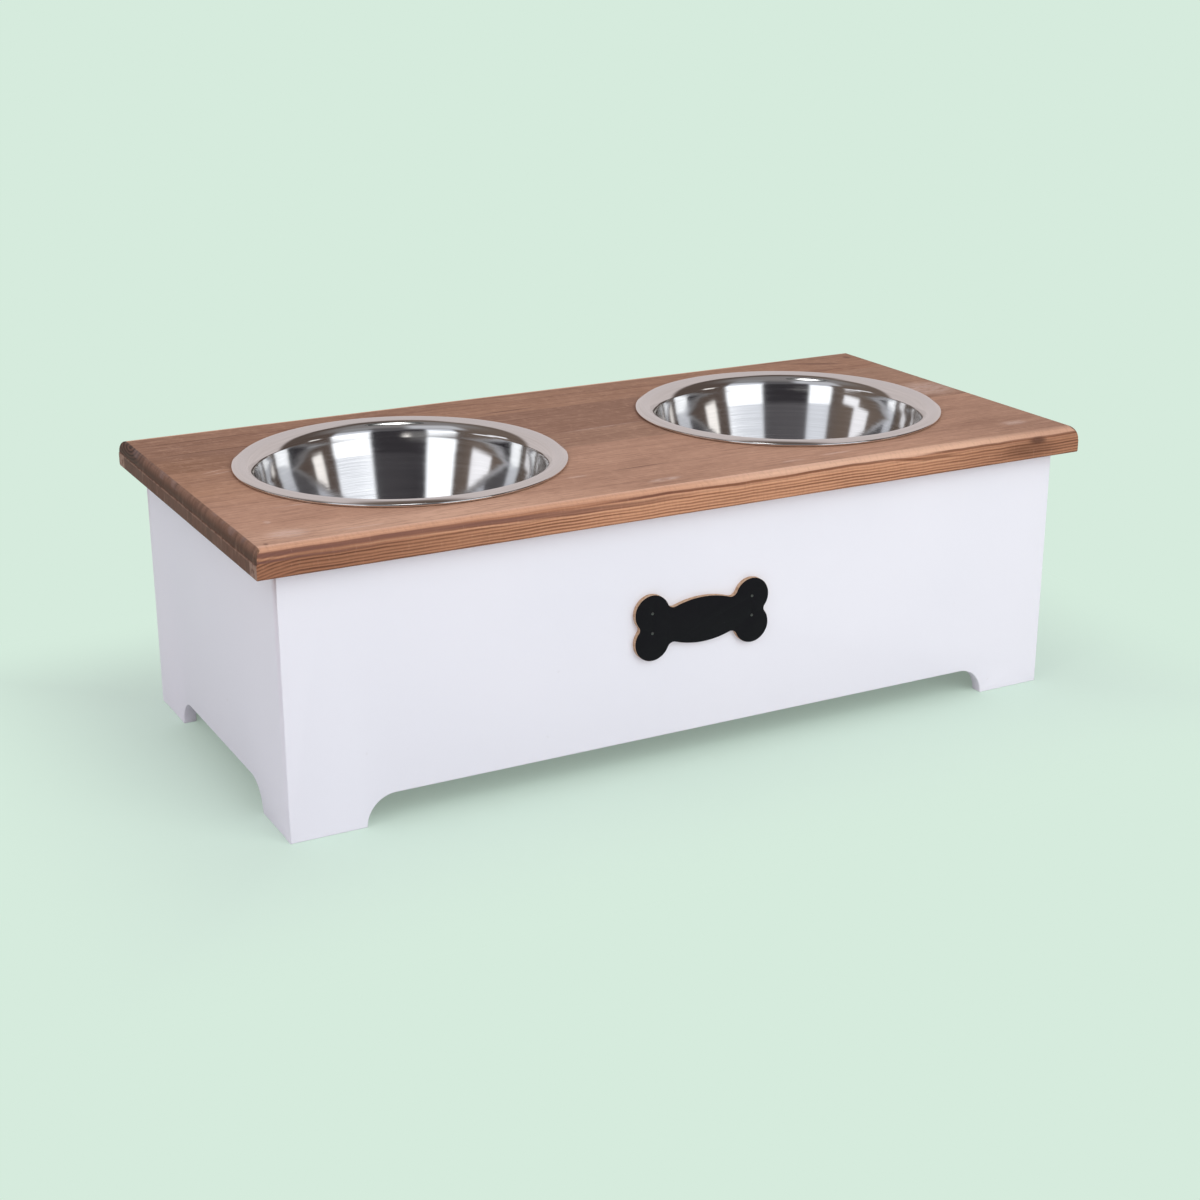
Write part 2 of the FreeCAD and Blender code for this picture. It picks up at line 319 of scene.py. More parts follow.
# Top board: four softwood staves glued edge to edge, planed to 18 mm, with a bowl hole in each half.
# Its long edges are rounded over and its ends more shallowly, with a thin quirk left below the end rounds.
top_low, top_high = (Vector(corner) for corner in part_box("top_board"))
top_length = top_high.x - top_low.x
top_width = top_high.y - top_low.y
top_thickness = top_high.z - top_low.z
long_round = 0.008
end_round_depth = 0.004
end_round_height = 0.009
quirk_width = 0.0004
lower_round = 0.0015
saw_waste = 0.02
hole_radius = 0.1005
bowl_centres = {}
for side in ("left", "right"):
    low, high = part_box(side + "_bowl")
    bowl_centres[side] = (low[0] + high[0]) / 2
stave_seams = (-0.0226, 0.0155, 0.083)


def slab(name, length, width, thickness):
    bpy.ops.object.select_all(action="DESELECT")
    bpy.ops.mesh.primitive_cube_add(size=1, location=(0, 0, (top_low.z + top_high.z) / 2))
    bpy.context.object.scale = (length, width, thickness)
    return start_edit(name)


def spans(edge, axis):
    """Whether an edge runs from one end of the slab to the other along an axis, 0 for X and 1 for Y."""
    first, last = (vert.co for vert in edge.verts)
    return abs(first[1 - axis] - last[1 - axis]) < hair and abs(middle(edge)[axis]) < hair


def round_long_edges():
    pick("EDGE", lambda edge: spans(edge, 0) and middle(edge).z > top_high.z - hair)
    bpy.ops.mesh.bevel(offset=long_round, segments=12, affect="EDGES")
    pick("EDGE", lambda edge: spans(edge, 0) and middle(edge).z < top_low.z + hair)
    bpy.ops.mesh.bevel(offset=lower_round, segments=4, affect="EDGES")


def round_ends(length):
    """Rounds the ends to a quarter circle, then presses each round in along X to its shallow depth."""
    start = length / 2 - end_round_height
    face_x = start + end_round_depth - quirk_width
    press = (end_round_depth - quirk_width) / end_round_height
    pick("EDGE", lambda edge: spans(edge, 1) and middle(edge).z > top_high.z - hair)
    bpy.ops.mesh.bevel(offset=end_round_height, segments=14, affect="EDGES")
    for end in (-1, 1):
        pick("VERT", lambda vert: vert.co.x * end > start - hair)
        bpy.ops.transform.resize(value=(press, 1, 1), center_override=(end * start, 0, 0))
        pick("FACE", lambda face: face.calc_center_median().x * end > face_x - hair
             and face.calc_center_median().z < top_high.z - end_round_height)
        bpy.ops.mesh.extrude_region_move(TRANSFORM_OT_translate={"value": (end * quirk_width, 0, 0)})
    pick("EDGE", lambda edge: spans(edge, 1) and middle(edge).z < top_low.z + hair
         and abs(middle(edge).x) > top_length / 2 - hair)
    bpy.ops.mesh.bevel(offset=lower_round, segments=4, affect="EDGES")


top = slab("top_planks", top_length + saw_waste, top_width, top_thickness)
round_long_edges()
bpy.ops.object.mode_set(mode="OBJECT")
ends_length = top_length + 2 * (end_round_height - end_round_depth)
ends = slab("end_rounds", ends_length, top_width + saw_waste, top_thickness + 0.4 * hair)
round_ends(ends_length)
bpy.ops.object.mode_set(mode="OBJECT")
apply(top, "BOOLEAN", operation="INTERSECT", object=ends, solver="EXACT")
bpy.data.objects.remove(ends)
for centre_x in bowl_centres.values():
    bpy.ops.object.select_all(action="DESELECT")
    bpy.ops.mesh.primitive_cylinder_add(vertices=128, radius=hole_radius, depth=0.1,
                                        location=(centre_x, 0, top_low.z))
    drill = bpy.context.object
    apply(top, "BOOLEAN", operation="DIFFERENCE", object=drill, solver="EXACT")
    bpy.data.objects.remove(drill)
apply(top, "WEIGHTED_NORMAL", keep_sharp=True)
smooth(top, 28)


def spot(along, across, up=0.0):
    """A place to look a pattern up at, put together from three values."""
    return along.node("ShaderNodeCombineXYZ", {}, {0: along, 1: across, 2: up})


def distance(first, second):
    return (first * first + second * second).math("SQRT")


def stave_grain(x, y, z):
    """The patterns in the staves. Each stave is cut from another stretch of tree than its neighbour."""

    def beyond(seam, slant=0.0):
        return (y - (-0.06 - x).math("MAXIMUM", 0.0) * slant).step(seam - 0.0004, seam + 0.0004)

    rear = beyond(stave_seams[2])
    along = x + beyond(stave_seams[0]) * 3.1 + rear * 5.7
    own = spot(along, y, z)
    wander = own.stretched(5.0, 14.0, 14.0).noise(3.0) - 0.5
    rings = spot(along, y + wander * 0.022)
    return SimpleNamespace(
        second=beyond(stave_seams[0], 0.3), third=beyond(stave_seams[1], 0.1), rear=rear, wander=wander,
        bands=rings.stretched(3.5, 75.0, 1.0).noise(4.0, 0.65),
        lines=rings.stretched(9.0, 330.0, 1.0).noise(3.0, 0.7),
        hairs=rings.stretched(26.0, 700.0, 1.0).noise(3.0, 0.7),
        flecks=own.stretched(110.0, 520.0, 520.0).noise(3.0, 0.65),
        mottle=own.stretched(190.0, 150.0, 150.0).noise(3.0, 0.65),
        cloud=own.stretched(9.0, 24.0, 24.0).noise(4.0))


def upper_face(x, y, grain):
    """Staves of slightly different tone, with wandering bands and lines of late wood and short dark pores."""
    brown = grain.second.mix((0.50, 0.29, 0.194, 1), (0.378, 0.223, 0.148, 1))
    third = x.step(0.1, 0.27).mix((0.315, 0.177, 0.116, 1), (0.40, 0.24, 0.158, 1))
    brown = grain.third.mix(brown, third)
    brown = grain.rear.mix(brown, (0.385, 0.215, 0.134, 1))
    # Lighter towards the front edge over the left half of the top.
    lighter_front_left = (1 - x.step(-0.2, -0.02)) * (1 - y.step(-0.125, -0.095))
    brown = (lighter_front_left * 0.62).mix(brown, (0.74, 0.475, 0.335, 1))
    dim_right = x.step(0.2, 0.28) * (1 - y.step(-0.06, -0.02))
    dim_left = (1 - x.step(-0.28, -0.22)) * y.step(-0.03, 0.02)
    brown = ((dim_right + dim_left) * 0.28).mix(brown, (0.22, 0.118, 0.076, 1))
    warm_left = (1 - x.step(-0.29, -0.2)) * y.step(-0.07, -0.01) * (1 - y.step(0.06, 0.09))
    brown = (warm_left * 0.32).mix(brown, (0.36, 0.18, 0.08, 1))
    brown = (grain.cloud.step(0.4, 0.72) * 0.35).mix(brown, (0.27, 0.145, 0.094, 1))
    brown = (grain.bands.step(0.46, 0.74) * (0.28 + grain.rear * 0.25)).mix(brown, (0.19, 0.09, 0.056, 1))
    brown = (grain.lines.step(0.5, 0.76) * (0.4 + grain.rear * 0.25)).mix(brown, (0.165, 0.08, 0.05, 1))
    brown = (grain.hairs.step(0.5, 0.7) * 0.45).mix(brown, (0.20, 0.105, 0.07, 1))
    brown = ((1 - grain.hairs.step(0.3, 0.46)) * 0.4).mix(brown, (0.70, 0.45, 0.32, 1))
    brown = (grain.flecks.step(0.5, 0.78) * 0.4).mix(brown, (0.17, 0.082, 0.052, 1))
    return (grain.mottle.step(0.48, 0.74) * 0.2).mix(brown, (0.66, 0.41, 0.28, 1))


def edge_rings(x, run, smudge):
    """Close growth rings along the board, darker at both ends. Run is the distance down from the arris."""
    tone = x.step(-0.28, -0.03) - x.step(0.12, 0.27) * 0.75
    light_ring = tone.mix((0.345, 0.16, 0.088, 1), (0.59, 0.305, 0.175, 1))
    dark_ring = tone.mix((0.12, 0.052, 0.032, 1), (0.21, 0.09, 0.049, 1))
    sag = (-0.272 - x).math("MAXIMUM", 0.0)
    ring_gap = 0.0020
    growth = (run - sag * sag * 6.0 + smudge * 0.0014) * (2 * math.pi / ring_gap)
    growth = growth.math("SINE") * 0.5 + 0.5
    edge = (growth.step(0.2, 0.8) * (0.45 + smudge.step(0.35, 0.65) * 0.45)).mix(light_ring, dark_ring)
    return edge, growth


def edge_crown(x, run, edge, left_side):
    """The rounded part of the edge: a lighter tan, partly worn wood and partly painted highlight where the
    round faces up to the light, with painted shade darkening its lower side.
    """
    crown_depth = 0.0060 + x.step(-0.1, 0.03) * 0.0012 + x.step(0.1, 0.16) * 0.0008
    # Crown tan: partly worn wood, partly painted highlight where the round faces up to the light.
    crown = x.step(-0.03, 0.05).mix((0.63, 0.355, 0.225, 1), (0.72, 0.45, 0.31, 1))
    crown = x.step(0.19, 0.28).mix(crown, (0.58, 0.345, 0.235, 1))
    # Painted highlight along the arris, over the left part of the edge.
    brow = 1 - run.step(0.0, 0.003)
    crown = (brow * (1 - x.step(0.08, 0.14)) * 0.55).mix(crown, (0.80, 0.52, 0.38, 1))
    crown = (brow * x.step(0.15, 0.26) * 0.45).mix(crown, (0.32, 0.175, 0.12, 1))
    edge = (run - crown_depth).step(-0.0004, 0.0004).mix(crown, edge)
    # Painted shade along the lower side of the round, where it turns away from the light.
    shade = (run - crown_depth).step(-0.0024, 0.0) * (1 - run.step(0.0085, 0.0105))
    return (shade * (0.34 + left_side * 0.18)).mix(edge, (0.32, 0.15, 0.09, 1))


def edge_hearts(x, run, edge, left_side, ripple, smudge):
    """Streaks of dark heartwood that wander along the edge, each with a pale line below it, and a knot."""
    heart_tone = left_side.mix((0.16, 0.064, 0.034, 1), (0.175, 0.083, 0.064, 1))
    left_heart = 0.0075 + x.step(-0.21, -0.06) * 0.0031
    middle_heart = 0.0073 + x.step(-0.02, 0.03) * 0.0009 - x.step(0.05, 0.1) * 0.0007
    middle_heart = middle_heart + x.step(0.135, 0.172) * 0.0032

    # Each streak: depth below the arris, half width, where it shows, width and strength of its pale line
    hearts = ((0.0114 + ripple * 0.001, 0.0008, 1 - x.step(-0.26, -0.2), 0.0008, 0.0),
              (left_heart, 0.0016, 1 - x.step(-0.05, 0.0), 0.0010, 0.64),
              (middle_heart, 0.0009, x.step(-0.1, -0.04) - x.step(0.183, 0.2), 0.0016, 0.672),
              (0.0079, 0.0009, x.step(0.158, 0.19), 0.0014, 0.4))
    for heart_depth, half, shown, pale_width, pale in hearts:
        below = run - heart_depth - half
        pale_line = (below.step(0.0, 0.0006) - below.step(pale_width, pale_width + 0.0006)) * shown
        pale_line = pale_line * (0.3 + smudge.step(0.4, 0.6) * 0.5) * pale
        edge = pale_line.mix(edge, (0.66, 0.365, 0.22, 1))
        heart = (1 - ((run - heart_depth) / half).size().step(0.6, 1.25)) * shown
        edge = (heart * (0.58 + smudge.step(0.3, 0.7) * 0.32)).mix(edge, heart_tone)
    knot = distance((x - 0.264) * math.sqrt(0.12), run - 0.0098)
    edge = ((1 - knot.step(0.001, 0.0036)) * 0.8).mix(edge, (0.085, 0.04, 0.028, 1))
    burnt = distance((x - 0.256) * math.sqrt(0.06), run - 0.0152)
    return ((1 - burnt.step(0.002, 0.008)) * 0.5).mix(edge, (0.13, 0.058, 0.033, 1))


def long_edges(x, y, depth):
    """The front and back edges: growth rings below a tan crown, heartwood streaks and small nicks."""
    crown_turn = (1 - depth / long_round).math("MAXIMUM", 0.0).math("ARCCOSINE")
    ripple = spot(x * 42.0, y * 30.0).noise(2.0) - 0.5
    run = crown_turn * long_round + (depth - long_round).math("MAXIMUM", 0.0) - ripple * 0.0014
    smudge = spot(x * 14.0, run * 420.0, y * 8.0).noise(3.0, 0.6)
    nicks = spot(x * 520.0, run * 160.0, y * 8.0).noise(4.0, 0.7)
    left_side = 1 - x.step(-0.12, 0.04)
    edge, growth = edge_rings(x, run, smudge)
    edge = edge_crown(x, run, edge, left_side)
    edge = edge_hearts(x, run, edge, left_side, ripple, smudge)
    edge = (nicks.step(0.45, 0.75) * 0.22).mix(edge, (0.22, 0.11, 0.065, 1))
    edge = ((1 - nicks.step(0.25, 0.45)) * 0.1).mix(edge, (0.74, 0.48, 0.33, 1))
    return edge, growth


def end_grain(place, y, depth, edge_depth, grain):
    """Brown end grain that darkens down the round, with the rings of one pith at the rear left."""
    pith = distance(y - 0.121, (depth - 0.0005) * math.sqrt(10.0)) + grain.wander * 0.004
    ring_gap = 0.0065
    arcs = (pith * (2 * math.pi / ring_gap)).math("SINE") * 0.5 + 0.5
    near_pith = 1 - pith.step(0.012, 0.042)
    pores = place.stretched(40.0, 230.0, 70.0).noise(3.0, 0.65)
    # Painted sheen: patches of greyish reflection on the upper part of the end round.
    sheen = place.stretched(40.0, 36.0, 42.0).noise(2.0) * (1 - depth.step(0.003, 0.007))
    ends = depth.step(0.0003, 0.0065).mix((0.25, 0.14, 0.092, 1), (0.10, 0.047, 0.03, 1))
    below_quirk = depth.step(0.0085, 0.0095)
    ends = below_quirk.mix(ends, (0.15, 0.07, 0.047, 1))
    ends = (pores.step(0.42, 0.72) * 0.5).mix(ends, (0.065, 0.033, 0.024, 1))
    ends = ((1 - pores.step(0.28, 0.44)) * 0.4).mix(ends, (0.30, 0.18, 0.125, 1))
    ends = (near_pith * 0.55).mix(ends, (0.085, 0.048, 0.036, 1))
    ends = (arcs.step(0.3, 0.8) * near_pith * 0.75).mix(ends, (0.032, 0.018, 0.014, 1))
    # Mixes the painted sheen into the end grain's colour.
    ends = (sheen.step(0.5, 0.66) * 0.4).mix(ends, (0.30, 0.225, 0.205, 1))
    # Painted highlight: a pale broken line along the quirk, where the ledge catches the light.
    quirk = 1 - (depth - end_round_height - 0.0002).size().step(0.0002, 0.0008)
    ends = (quirk * grain.mottle.step(0.3, 0.6) * 0.4).mix(ends, (0.46, 0.29, 0.2, 1))
    worn = (1 - edge_depth.step(0.011, 0.0135)) * below_quirk * grain.mottle.step(0.3, 0.5)
    return (worn * 0.6).mix(ends, (0.42, 0.28, 0.21, 1))


def with_wear(x, y, grain, brown):
    """Dark streaks and pale scuffs: place along X and Y, half length and half width in millimetres, slant."""
    streaks = ((-250, 115, 75, 1.4, 0.02), (-255, 104, 60, 0.9, 0.03), (-245, 84, 60, 1.2, 0.0),
               (-20, -88, 32, 1.3, 0.02), (251, 115, 27, 4.0, -0.5), (288, 123, 4.5, 5.0, 0.0),
               (-290, -132, 2.0, 3.0, 0.0), (-30, 90, 30, 2.0, 0.0))
    scuffs = ((6, 16, 42, 1.2, 0.05), (-275, -91, 3.0, 4.0, 0.0), (-272, -118, 17, 11, 0.0),
              (-21, -122, 16, 5.0, 0.1), (-67, -90, 11, 2.0, 0.0), (75, -123, 12, 2.0, 0.0),
              (111, -120, 16, 2.0, 0.0), (268, -111, 14, 7.0, 0.0), (-268, 33, 12, 1.2, 0.35),
              (-266, 27, 13, 1.2, 0.25), (-235, -65, 38, 1.2, -0.02), (-230, -126, 22, 1.3, 0.0),
              (278, 4, 30, 26, 0.0))

    def mark(mark_x, mark_y, half_length, half_width, slant):
        beside = x - mark_x / 1000
        off = y - mark_y / 1000 - beside * slant
        return 1 - distance(beside / (half_length / 1000), off / (half_width / 1000)).step(0.3, 1.0)

    for streak in streaks:
        brown = (mark(*streak) * 0.55).mix(brown, (0.11, 0.052, 0.036, 1))
    for scuff in scuffs:
        brown = (mark(*scuff) * grain.flecks.step(0.3, 0.6) * 0.45).mix(brown, (0.74, 0.57, 0.49, 1))
    return brown


def stained_softwood():
    """Four staves with grain along X under a brown stain. Each face shows the grain as it is cut."""
    material, shader, place = new_finish("stained_softwood", {"Specular IOR Level": 0.08})
    x, y, z = place.axes()
    depth = top_high.z - z
    end_depth = top_length / 2 - x.size()
    edge_depth = top_width / 2 - y.size()
    end_face = (1 - end_depth.step(0.0034, 0.0042)) * (edge_depth - end_depth).step(-0.0002, 0.0002)
    long_face = 1 - edge_depth.step(0.0080, 0.0094)
    grain = stave_grain(x, y, z)
    edge, growth = long_edges(x, y, depth)
    brown = long_face.mix(upper_face(x, y, grain), edge)
    brown = end_face.mix(brown, end_grain(place, y, depth, edge_depth, grain))
    with_wear(x, y, grain, brown).feed(shader, "Base Color")
    roughness = 0.5 + grain.lines * 0.08 + grain.flecks * 0.12 - end_face * grain.cloud * 0.2
    roughness.feed(shader, "Roughness")
    relief = grain.lines * 0.4 + grain.flecks * 0.4 + long_face * growth * 0.4
    relief.bump(0.0002).feed(shader, "Normal")
    return material


seat(top, "station", "stained_wood", stained_softwood(), "top_board")


# Bowls: two round bowls spun from 0.8 mm stainless sheet, polished, each hung by its rim in the top.
# Below the well rounded mouth a steep collar runs softly into the tapered wall, and the domed rim is
# rolled under to a foot on the wood. Heights are above the top's surface.
rim_radius = 0.110
rim_foot = 0.005
base_radius = 0.0754
bowl_depth = 0.074
crease_radius = 0.0939
crease_height = -0.0138
neck_radius = 0.0964
neck_height = 0.00006
crest_radius = 0.105
crest_height = 0.0041
roll_high = 0.0016
roll_low = 0.00072
sheet = 0.0008
bowl_sides = 256
dull_radius = 0.0988
dull_fade = 0.003


def bend_reach(before, turn, after, radius):
    """How far along the sheet from a turn a bend of the given radius starts."""
    angle = (turn - before).angle(after - turn)
    return radius * math.tan(angle / 2)


def on_ring(centre, radius):
    """A test for edges that lie on the ring with this centre and radius."""

    def test(edge):
        spots = [vert.co - centre for vert in edge.verts]
        return all(abs(at.z) < hair / 5 and abs(at.to_2d().length - radius) < hair / 5 for at in spots)

    return test


def spun_bowl(name, centre_x):
    """The sheet's middle surface drawn out ring by ring from the base, then its bends and thickness."""
    rings = [Vector((base_radius, -bowl_depth)), Vector((crease_radius, crease_height)),
             Vector((neck_radius, neck_height)), Vector((crest_radius, crest_height)),
             Vector((rim_radius - sheet / 2, roll_high)), Vector((rim_radius - sheet / 2, roll_low)),
             Vector((rim_radius - rim_foot, sheet / 2))]
    bends = (0.018, 0.1, 0.0094, 0.0038, 0.00055, 0.00042)
    bend_steps = (14, 14, 18, 8, 5, 5)
    bpy.ops.object.select_all(action="DESELECT")
    bpy.ops.mesh.primitive_circle_add(vertices=bowl_sides, radius=base_radius, fill_type="NGON",
                                      location=(centre_x, 0, top_high.z - bowl_depth))
    piece = start_edit(name)
    pick("EDGE", lambda edge: True)
    for inner, outer in zip(rings, rings[1:]):
        bpy.ops.mesh.extrude_edges_move(TRANSFORM_OT_translate={"value": (0, 0, outer.y - inner.y)})
        spread = outer.x / inner.x
        bpy.ops.transform.resize(value=(spread, spread, 1), center_override=(centre_x, 0, 0))
    profile = [Vector((0, -bowl_depth))] + rings
    for before, ring, after, radius, steps in zip(profile, profile[1:], profile[2:], bends, bend_steps):
        pick("EDGE", on_ring(Vector((centre_x, 0, top_high.z + ring.y)), ring.x))
        bpy.ops.mesh.bevel(offset=bend_reach(before, ring, after, radius), segments=steps, affect="EDGES",
                           clamp_overlap=False)
    bpy.ops.mesh.select_all(action="SELECT")
    bpy.ops.mesh.normals_make_consistent(inside=False)
    bpy.ops.object.mode_set(mode="OBJECT")
    apply(piece, "SOLIDIFY", thickness=sheet, offset=0.0, use_even_offset=True)
    smooth(piece, 40)
    return piece


def spun_steel(name, centre_x):
    """Polished stainless steel with the fine rings of spinning, a little duller on the flange."""
    material, shader, place = new_finish(name, {"Metallic": 1.0, "Anisotropic": 0.5})
    x, y, z = place.axes()
    radius = distance(x - centre_x, y)
    flange = radius.step(dull_radius, dull_radius + dull_fade)
    flange = flange - radius.step(crest_radius, crest_radius + dull_fade)
    flange = flange * z.step(top_high.z + 0.001, top_high.z + 0.0015)
    ring_place = spot(radius, z)
    lines = ring_place.stretched(2600.0, 2600.0, 1.0).noise(2.0)
    waves = ring_place.stretched(160.0, 160.0, 1.0).noise(2.0)
    smear = place.stretched(40.0, 40.0, 40.0).noise(3.0)
    brush = spot(radius * 900.0, z * 900.0, (x + y) * 14.0).noise(3.0, 0.7).step(0.36, 0.66)
    steel = brush.mix((0.76, 0.755, 0.75, 1), (0.82, 0.815, 0.81, 1))
    flange.mix(steel, (0.785, 0.785, 0.79, 1)).feed(shader, "Base Color")
    (0.045 + lines * 0.03 + brush * 0.02 + smear * 0.03 + flange * 0.08).feed(shader, "Roughness")
    (lines * (0.1 + flange * 0.4) + waves * 0.4 + brush * 0.12).bump(0.00002).feed(shader, "Normal")
    return material


for side, centre_x in bowl_centres.items():
    bowl = spun_bowl("spun_bowl_" + side, centre_x)
    seat(bowl, side + "_bowl", "steel", spun_steel("spun_steel_" + side, centre_x), side + "_bowl")


# Bone plaque: a bone cut from thin board, its face painted matt black and its sawn edge left tan.
# It lies flat on the front wall and is held by four small brads, one in each lobe.
plaque_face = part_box("bone_plaque")[0][1]
plaque_arris = 0.00018
bpy.ops.object.select_all(action="DESELECT")
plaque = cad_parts["bone_plaque"].copy()
plaque.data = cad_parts["bone_plaque"].data.copy()
plaque.parent = None
plaque.matrix_world = Matrix.Identity(4)
bpy.context.collection.objects.link(plaque)
bpy.context.view_layer.objects.active = plaque
plaque.select_set(True)
start_edit("bone_plate")
bpy.ops.mesh.select_all(action="SELECT")
bpy.ops.mesh.remove_doubles(threshold=hair / 100)
bpy.ops.mesh.dissolve_limited(angle_limit=math.radians(0.5))
pick("EDGE", lambda edge: all(vert.co.y < plaque_face + hair / 10 for vert in edge.verts))
bpy.ops.mesh.bevel(offset=plaque_arris, segments=2, affect="EDGES")
bpy.ops.object.mode_set(mode="OBJECT")
apply(plaque, "WEIGHTED_NORMAL", keep_sharp=True)
smooth(plaque, 40)


def black_faced_board():
    material, shader, place = new_finish("black_faced_board", {"Specular IOR Level": 0.12})
    edge = place.axes()[1].step(plaque_face + 0.0001, plaque_face + 0.00025)
    fibre = place.stretched(500.0, 500.0, 500.0).noise(3.0)
    dust = place.stretched(900.0, 900.0, 900.0).noise(2.0).step(0.72, 0.8)
    black = (dust * 0.3).mix((0.0065, 0.0062, 0.0082, 1), (0.06, 0.06, 0.065, 1))
    tan = fibre.step(0.35, 0.65).mix((0.42, 0.27, 0.17, 1), (0.56, 0.4, 0.28, 1))
    edge.mix(black, tan).feed(shader, "Base Color")
    (0.55 + fibre * 0.15 + edge * 0.15).feed(shader, "Roughness")
    fibre.bump(0.00005).feed(shader, "Normal")
    return material


def blackened_steel():
    material, shader, place = new_finish("blackened_steel", {"Metallic": 1.0})
    grain = place.stretched(1500.0, 1500.0, 1500.0).noise(2.0)
    grain.mix((0.10, 0.10, 0.105, 1), (0.2, 0.195, 0.19, 1)).feed(shader, "Base Color")
    (0.35 + grain * 0.2).feed(shader, "Roughness")
    return material


seat(plaque, "station", "black_board", black_faced_board(), "bone_plaque")
dress("plaque_pins", blackened_steel())


# Stage: a plain pale floor that takes the soft shadow, two softboxes either side of the camera and one above,
# in a dark studio that only reflections see, and a camera at the photograph's angle.
backdrop_colour = (0.672, 0.831, 0.723, 1)
camera_azimuth = -28.12
camera_pitch = 19.132
camera_roll = -0.093
camera_place = (-0.6377, -1.1877, 0.5363)
camera_lens = 60.27
studio_radius = 1.35
studio_height = 4.2
overhead_place = (-0.17, -0.15, 1.05)
overhead_radius = 0.2


def seen_directly(tree):
    """1 for what the camera sees, also in a mirror or through glass, and 0 for what only gives light."""
    rays = Wire(tree).node("ShaderNodeLightPath", {}, {}).socket.node.outputs
    camera_ray, mirrored, through = (Wire(tree, rays[kind]) for kind in (
        "Is Camera Ray", "Is Glossy Ray", "Is Transmission Ray"))
    return (camera_ray + mirrored + through).math("MINIMUM", 1.0)


def pale_floor():
    """Takes the shadow below and beside the object, and blends into the backdrop's own colour further out."""
    material, shader, place = new_finish("pale_floor", {"Roughness": 0.9, "Specular IOR Level": 0.0})
    tree = material.node_tree
    x, y = place.axes()[:2]
    seen = seen_directly(tree)
    seen.mix((0.74, 0.74, 0.75, 1), backdrop_colour).feed(shader, "Base Color")
    glow = seen.node("ShaderNodeEmission", {}, {"Color": backdrop_colour, "Strength": 1.0})
    beside = (x.size() - top_length / 2).math("MAXIMUM", y.size() - top_width / 2)
    far = (0.3 + 0.7 * beside.step(-0.02, 0.16)) * seen
    blend = far.node("ShaderNodeMixShader", {}, {0: far, 1: Wire(tree, shader.outputs[0]), 2: glow})
    blend.feed(tree.nodes["Material Output"], "Surface")
    return material


bpy.ops.object.select_all(action="DESELECT")
bpy.ops.mesh.primitive_circle_add(vertices=96, radius=25.0, fill_type="NGON")
floor = bpy.context.object
floor.name = "floor"
floor.data.materials.append(pale_floor())


def studio_walls():
    """What polished metal sees by its direction from the object, in degrees right of the view and up: a white
    backdrop behind it, a softbox to either side of the camera, small white cards, and a dark room."""
    material, shader, place = new_finish("studio_walls", {})
    x, y, z = place.axes()
    heading = (x.math("ARCTAN2", y) * math.degrees(1) + camera_azimuth).math("WRAP", 180.0, -180.0)
    rise = (z - top_high.z).math("ARCTAN2", distance(x, y)) * math.degrees(1)

    def patch(azimuth, half_width, low, high, blur):
        across = 1 - (heading - azimuth).size().step(half_width - blur, half_width + blur)
        return across * (rise.step(low - blur, low + blur) - rise.step(high - blur, high + blur))

    sides = heading.step(-60.0, 60.0).mix((0.165, 0.128, 0.107, 1), (0.107, 0.081, 0.07, 1))
    ahead = rise.step(16.5, 22.5).mix((0.04, 0.037, 0.042, 1), (0.115, 0.11, 0.118, 1))
    level = heading.size().step(115.0, 160.0).mix(sides, ahead)
    level = (rise.step(34.0, 60.0) * heading.size().step(70.0, 115.0)).mix(level, (0.25, 0.235, 0.235, 1))
    level = patch(-3.0, 62.0, -20.0, 70.0, 5.0).mix(level, (0.65, 0.58, 0.57, 1))
    level = patch(-148.0, 25.0, 33.0, 56.0, 6.0).mix(level, (0.58, 0.59, 0.63, 1))
    level = patch(135.0, 17.0, 34.0, 56.0, 5.0).mix(level, (0.3, 0.3, 0.31, 1))
    level = patch(-165.0, 8.0, 1.0, 8.0, 4.0).mix(level, (0.22, 0.215, 0.215, 1))
    turned = heading + 175.0 - heading.step(-0.5, 0.5) * 360.0
    glare = 1 - distance(turned * math.sqrt(0.02), (rise - 6.0) * math.sqrt(0.3)).step(0.0, 1.0)
    level = (glare * glare).mix(level, (1.9, 1.82, 1.75, 1))
    level = patch(-112.0, 9.0, 8.0, 14.0, 1.5).mix(level, (1.15, 1.15, 1.2, 1))
    level = patch(-98.0, 9.0, 12.5, 19.0, 1.5).mix(level, (1.07, 1.07, 1.12, 1))
    level = patch(102.5, 5.5, 8.5, 16.0, 1.5).mix(level, (1.2, 1.155, 1.12, 1))
    upper = rise.step(17.0, 34.0).mix((0.84, 0.875, 0.945, 1), (0.62, 0.64, 0.71, 1))
    lamp = (rise - (heading.size() - 123.0) * 0.09).step(15.6, 16.3).mix((1.5, 1.55, 1.62, 1), upper)
    level = patch(-146.8, 11.5, 5.5, 33.0, 2.0).mix(level, lamp)
    level = patch(137.7, 17.5, 4.5, 36.0, 2.0).mix(level, lamp)
    glow = level.node("ShaderNodeEmission", {}, {"Color": level, "Strength": 1.0})
    glow.feed(material.node_tree.nodes["Material Output"], "Surface")
    return material


def overhead_glow():
    """A small bright lamp in the middle of a dim round reflector."""
    constants = {"Base Color": (0, 0, 0, 1), "Emission Strength": 7.0}
    material, shader, place = new_finish("studio_overhead", constants)
    x, y = place.axes()[:2]
    off_middle = distance(x - overhead_place[0], y - overhead_place[1])
    fading = 1 - off_middle.step(0.09, overhead_radius)
    (1 - off_middle.step(0.06, 0.1) + fading * fading * 0.12).feed(shader, "Emission Color")
    return material


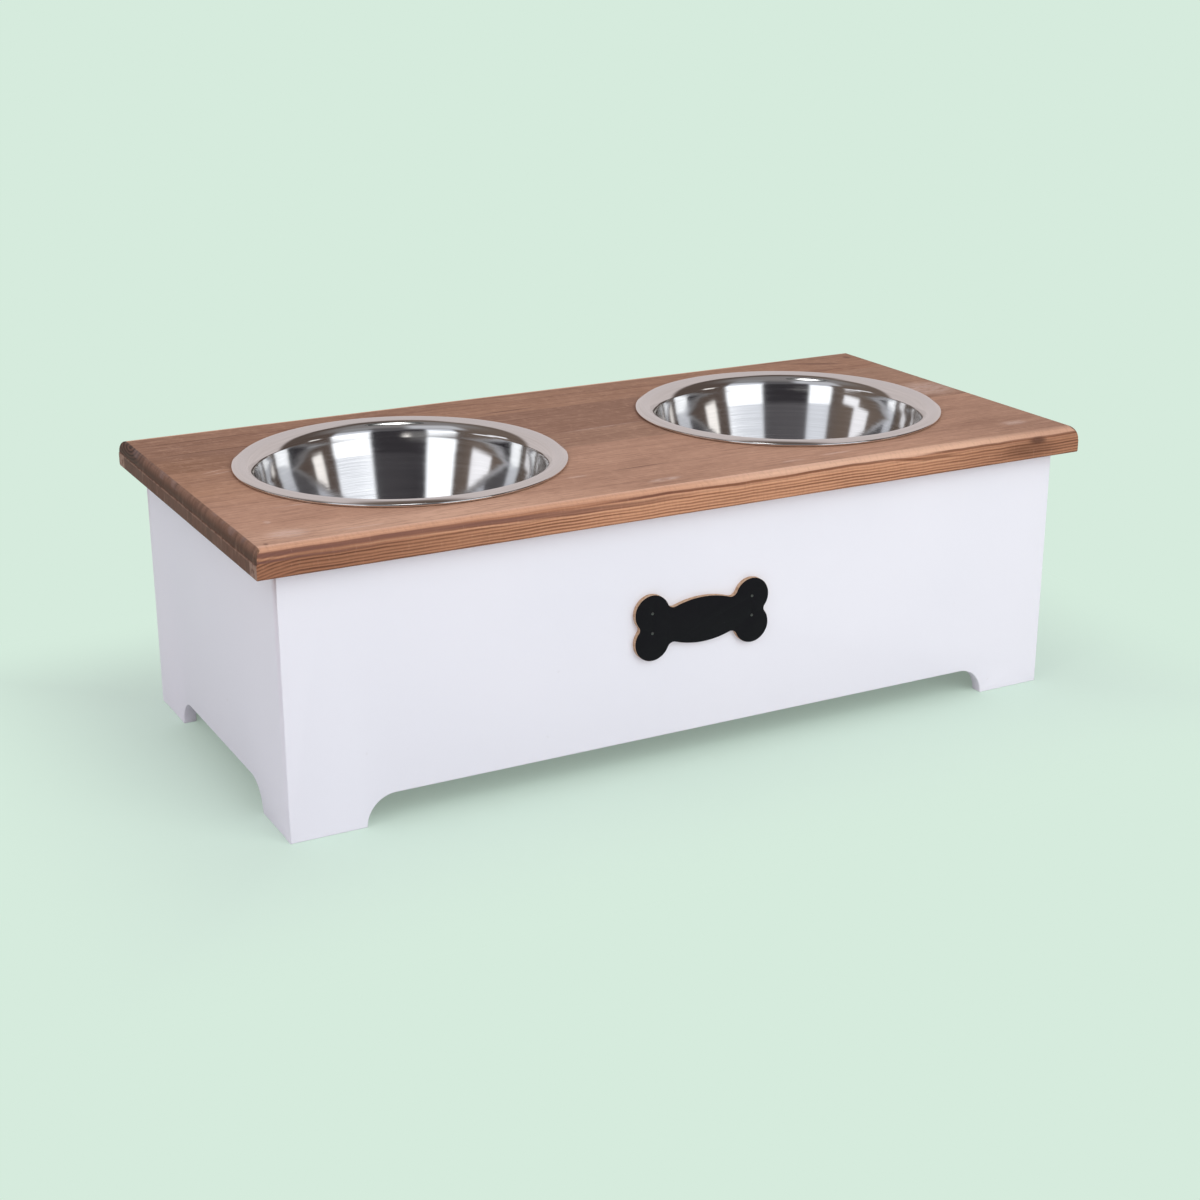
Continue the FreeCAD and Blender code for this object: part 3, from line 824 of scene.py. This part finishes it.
bpy.ops.object.select_all(action="DESELECT")
bpy.ops.mesh.primitive_cylinder_add(vertices=96, radius=studio_radius, depth=studio_height,
                                    end_fill_type="NOTHING", location=(0, 0, studio_height / 2))
surround = start_edit("studio_walls")
pick("EDGE", lambda edge: all(vert.co.z > studio_height - hair for vert in edge.verts))
bpy.ops.mesh.edge_face_add()
bpy.ops.object.mode_set(mode="OBJECT")
surround.data.materials.append(studio_walls())
bpy.ops.object.select_all(action="DESELECT")
bpy.ops.mesh.primitive_circle_add(vertices=48, radius=overhead_radius, fill_type="NGON",
                                  location=overhead_place)
overhead = start_edit("studio_overhead")
bpy.ops.object.mode_set(mode="OBJECT")
overhead.data.materials.append(overhead_glow())
for reflector in (surround, overhead):
    reflector.visible_camera = False
    reflector.visible_diffuse = False
    reflector.visible_shadow = False


def softbox(name, azimuth, elevation, reach, width, height, power, colour):
    """An area lamp that faces the middle of the object from the given direction, in degrees and metres."""
    lamp = bpy.data.lights.new(name, "AREA")
    lamp.shape = "RECTANGLE"
    lamp.size = width
    lamp.size_y = height
    lamp.energy = power
    lamp.color = colour
    holder = bpy.data.objects.new(name, lamp)
    turn = Euler((math.radians(90 - elevation), 0, math.radians(azimuth))).to_matrix()
    holder.matrix_world = turn.to_4x4()
    holder.location = turn @ Vector((0, 0, reach)) + Vector((0, 0, 0.1))
    holder.visible_glossy = False
    bpy.context.collection.objects.link(holder)


softbox("softbox_left", camera_azimuth - 37, 32, 1.9, 0.95, 1.7, 6.3, (1.0, 0.95, 0.98))
softbox("softbox_right", camera_azimuth + 44, 32, 1.9, 1.4, 1.7, 16.5, (0.95, 1.0, 0.97))
softbox("softbox_above", camera_azimuth + 180, 75, 2.4, 1.6, 1.0, 2.0, (1.0, 1.0, 1.0))

world = bpy.data.worlds.new("studio")
world.use_nodes = True
backdrop = world.node_tree.nodes["Background"]
seen_directly(world.node_tree).mix((0.59, 0.555, 0.605, 1), backdrop_colour).feed(backdrop, "Color")
bpy.context.scene.world = world

camera = bpy.data.objects.new("camera", bpy.data.cameras.new("camera"))
facing = Euler((math.radians(90 - camera_pitch), 0, math.radians(camera_azimuth))).to_matrix()
camera.matrix_world = (facing @ Matrix.Rotation(math.radians(camera_roll), 3, "Z")).to_4x4()
camera.location = camera_place
camera.data.sensor_width = 36.0
camera.data.lens = camera_lens
bpy.context.collection.objects.link(camera)
bpy.context.scene.camera = camera
bpy.context.scene.view_settings.view_transform = "Standard"
bpy.context.scene.cycles.glossy_bounces = 12
